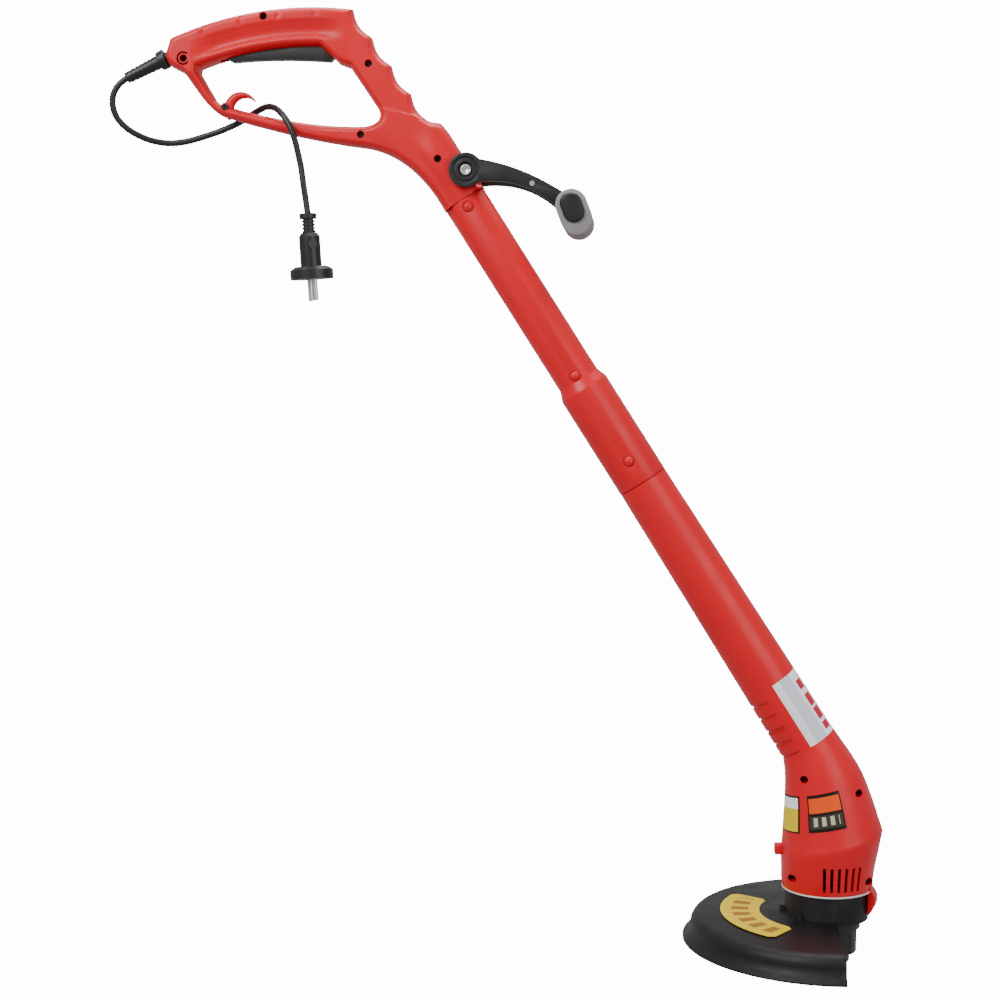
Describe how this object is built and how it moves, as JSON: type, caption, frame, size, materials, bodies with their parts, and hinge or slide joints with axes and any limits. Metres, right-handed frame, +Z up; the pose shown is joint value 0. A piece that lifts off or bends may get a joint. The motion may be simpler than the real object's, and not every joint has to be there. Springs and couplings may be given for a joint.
{
  "type": "string trimmer",
  "caption": "Corded electric string trimmer with a D-shaped trigger handle, tilting front handle, angled two-piece shaft, upright motor head, half-round guard and bump-feed line spool.",
  "frame": {"origin": "middle of the rear grip, where the hand closes round it", "axes": "+X ahead towards the cutting head, +Z up with the tool held level as in use, the halves of the shell meet at Y = 0"},
  "size_m": [0.6921, 0.258, 0.856],
  "materials": {
    "red_plastic": "moulded, satin",
    "black_plastic": "moulded",
    "guard_plastic": "moulded, fine texture",
    "black_rubber": "moulded",
    "steel": "plated",
    "grey_grip": "moulded",
    "pale_trim": "moulded",
    "lamination": "stacked sheet",
    "copper": "wound wire",
    "brass": "pressed",
    "carbon": "pressed carbon",
    "grey_plastic": "moulded",
    "nylon_line": "extruded"
  },
  "bodies": {
    "root": {"handle_shell_right": "red_plastic", "handle_shell_left": "red_plastic", "handle_screws": "steel", "trigger_pin": "steel", "trigger_spring": "steel", "switch_body": "black_plastic", "cord_clamp": "black_plastic", "inlet_lead": "black_rubber", "strain_relief": "black_rubber", "mains_cord": "black_rubber", "plug_body": "black_rubber", "plug_pins": "steel", "motor_lead": "black_rubber", "middle_tube": "red_plastic", "button_springs": "steel", "bail_bolt": "steel", "bail_nut": "steel", "head_shell_right": "red_plastic", "head_shell_left": "red_plastic", "head_screws": "steel", "base_ring": "pale_trim", "field_stack": "lamination", "field_coils": "copper", "upper_bearing": "steel", "lower_bearing": "steel", "upper_bracket": "black_plastic", "lower_bracket": "black_plastic", "brush_holders": "brass", "carbon_brushes": "carbon", "guard": "guard_plastic", "guard_screws": "steel", "line_cutter": "steel", "cutter_rivets": "steel", "bump_spring": "steel"},
    "trigger": {"trigger": "black_plastic"},
    "plunger": {"switch_plunger": "grey_plastic"},
    "button_top": {"snap_button_top": "red_plastic"},
    "button_mid": {"snap_button_mid": "red_plastic"},
    "button_low": {"snap_button_low": "red_plastic"},
    "front_handle": {"bail_arm_right": "black_plastic", "bail_arm_left": "black_plastic", "bail_core": "black_plastic", "bail_grip": "grey_grip", "bail_screws": "steel"},
    "rotor": {"armature": "copper", "commutator": "copper", "motor_shaft": "steel", "cooling_fan": "black_plastic", "spool_housing": "black_plastic", "line_eyelets": "steel"},
    "bump": {"bump_button": "black_plastic"},
    "spool": {"line_spool": "grey_plastic", "wound_line": "nylon_line"}
  },
  "joints": [
    {"name": "trigger_turn", "type": "hinge", "parent": "root", "child": "trigger", "pos_m": [0.037, 0, -0.014], "axis": [0, 1, 0], "range_deg": [0, 4], "stiffness_Nm_per_rad": 0.6, "springref_deg": -6.88, "deforming": ["trigger_spring"]},
    {"name": "plunger_slide", "type": "slide", "parent": "root", "child": "plunger", "axis": [0, 0, 1], "range_m": [0, 0.0034]},
    {"name": "button_top_press", "type": "slide", "parent": "root", "child": "button_top", "axis": [0, 1, 0], "range_m": [0, 0.003], "stiffness_N_per_m": 800, "springref_m": -0.001},
    {"name": "button_mid_press", "type": "slide", "parent": "root", "child": "button_mid", "axis": [0, 1, 0], "range_m": [0, 0.003], "stiffness_N_per_m": 800, "springref_m": -0.001},
    {"name": "button_low_press", "type": "slide", "parent": "root", "child": "button_low", "axis": [0, 1, 0], "range_m": [0, 0.003], "stiffness_N_per_m": 800, "springref_m": -0.001},
    {"name": "front_handle_tilt", "type": "hinge", "parent": "root", "child": "front_handle", "pos_m": [0.1574, 0, -0.1255], "axis": [0, 1, 0], "range_deg": [-85, 18]},
    {"name": "rotor_spin", "type": "hinge", "parent": "root", "child": "rotor", "pos_m": [0.48, 0, -0.811], "axis": [0, 0, 1], "continuous": true},
    {"name": "bump_press", "type": "slide", "parent": "rotor", "child": "bump", "axis": [0, 0, 1], "range_m": [0, 0.004], "stiffness_N_per_m": 1500, "springref_m": -0.003, "deforming": ["bump_spring"]},
    {"name": "spool_feed", "type": "hinge", "parent": "bump", "child": "spool", "pos_m": [0.48, 0, -0.811], "axis": [0, 0, 1], "continuous": true}
  ],
  "couplings": [
    {"joint": "plunger_slide", "follows": "trigger_turn", "m_per_rad": 0.047}
  ]
}
